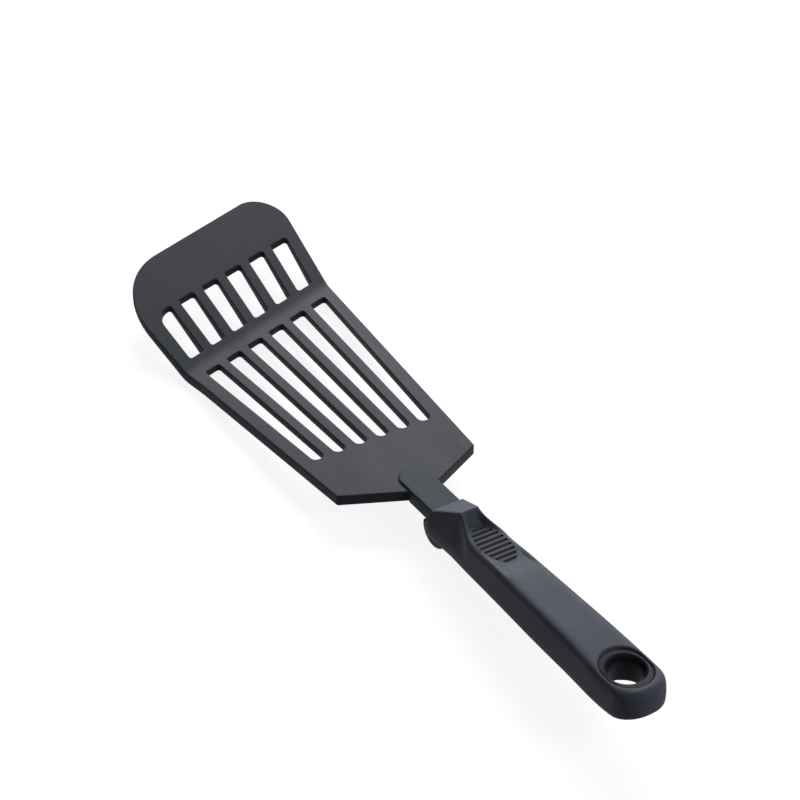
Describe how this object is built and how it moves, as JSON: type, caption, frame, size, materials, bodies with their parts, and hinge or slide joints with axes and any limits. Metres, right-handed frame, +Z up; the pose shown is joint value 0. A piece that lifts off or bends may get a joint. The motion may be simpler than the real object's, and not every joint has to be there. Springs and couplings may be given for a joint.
{
  "type": "fish spatula",
  "caption": "Slotted nylon fish turner with a slanted, bent head, a stem with a round tongue, a soft grip with a thumb scoop and a hanging hole.",
  "frame": {"origin": "middle of the foot's flat, on the worktop that the spatula lies on", "axes": "+Z up from the worktop, +Y along the spatula from the handle towards the leading edge, +X to the right"},
  "size_m": [0.0904, 0.3319, 0.0275],
  "materials": {
    "nylon_head": "satin, fine moulded texture",
    "nylon_stem": "satin, smoother than the head",
    "soft_grip": "matte soft touch",
    "core": "matte, as moulded",
    "soft_pad": "matte, with cross grooves",
    "soft_foot": "matte",
    "eyelet": "semi-gloss",
    "pins": "plain drawn steel"
  },
  "bodies": {
    "root": {"blade": "nylon_head", "stem": "nylon_stem", "grip_sleeve": "soft_grip", "grip_core": "core", "thumb_pad": "soft_pad", "rest_foot": "soft_foot", "hanging_eyelet": "eyelet", "tang_pins": "pins"}
  },
  "joints": []
}
